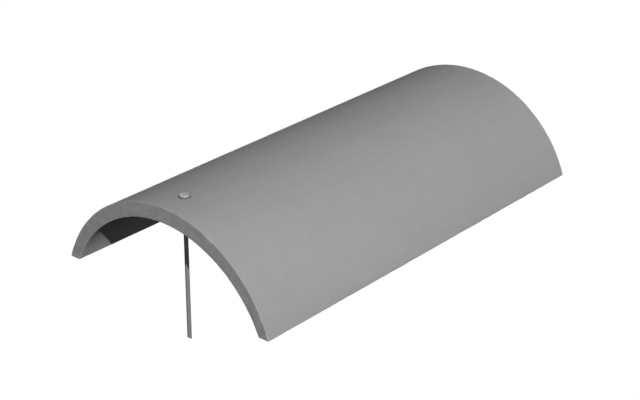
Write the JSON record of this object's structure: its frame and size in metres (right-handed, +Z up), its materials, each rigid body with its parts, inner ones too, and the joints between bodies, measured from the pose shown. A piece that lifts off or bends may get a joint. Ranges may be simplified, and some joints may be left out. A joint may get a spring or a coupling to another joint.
{
  "type": "half round ridge tile",
  "caption": "Barrel-shaped concrete tile that covers a roof's ridge, standing on two flat feet, with a dome-headed nail and its seal through the crown near one end.",
  "frame": {"origin": "under the middle of the tile, at the level of the nail's tip, which is the lowest point", "axes": "+Y along the ridge from the nailed end to the plain end, +X across the ridge, +Z up"},
  "size_m": [0.2446, 0.45, 0.1446],
  "materials": {
    "concrete": "matte",
    "nail_metal": "satin",
    "seal_rubber": "matte"
  },
  "bodies": {
    "root": {"ridge_tile": "concrete", "ridge_nail": "nail_metal", "seal_washer": "seal_rubber"}
  },
  "joints": []
}
